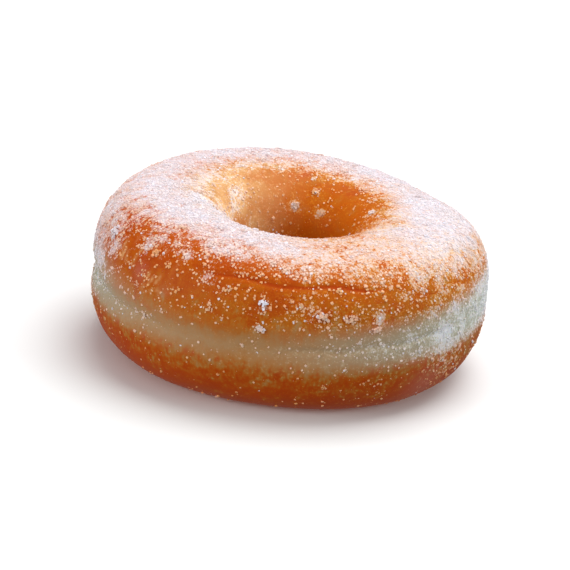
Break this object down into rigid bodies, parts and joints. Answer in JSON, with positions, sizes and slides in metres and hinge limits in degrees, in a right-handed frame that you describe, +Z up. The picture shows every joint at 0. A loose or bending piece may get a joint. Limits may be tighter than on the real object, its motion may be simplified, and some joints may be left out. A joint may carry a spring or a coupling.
{
  "type": "sugared ring doughnut",
  "caption": "Raised ring doughnut, browned above and below with a pale band round its waist, dusted all over with granulated sugar.",
  "frame": {"origin": "in the middle of the hole, on the surface that the doughnut rests on, under the centre of its bounding box", "axes": "+Z up out of the crown; -Y towards the side that the picture shows at the front; the pale band is highest and widest towards +X"},
  "size_m": [0.0902, 0.0902, 0.0383],
  "materials": {
    "fried_dough": "satin",
    "sugar": "matte"
  },
  "bodies": {
    "root": {"doughnut": "fried_dough"}
  },
  "joints": []
}
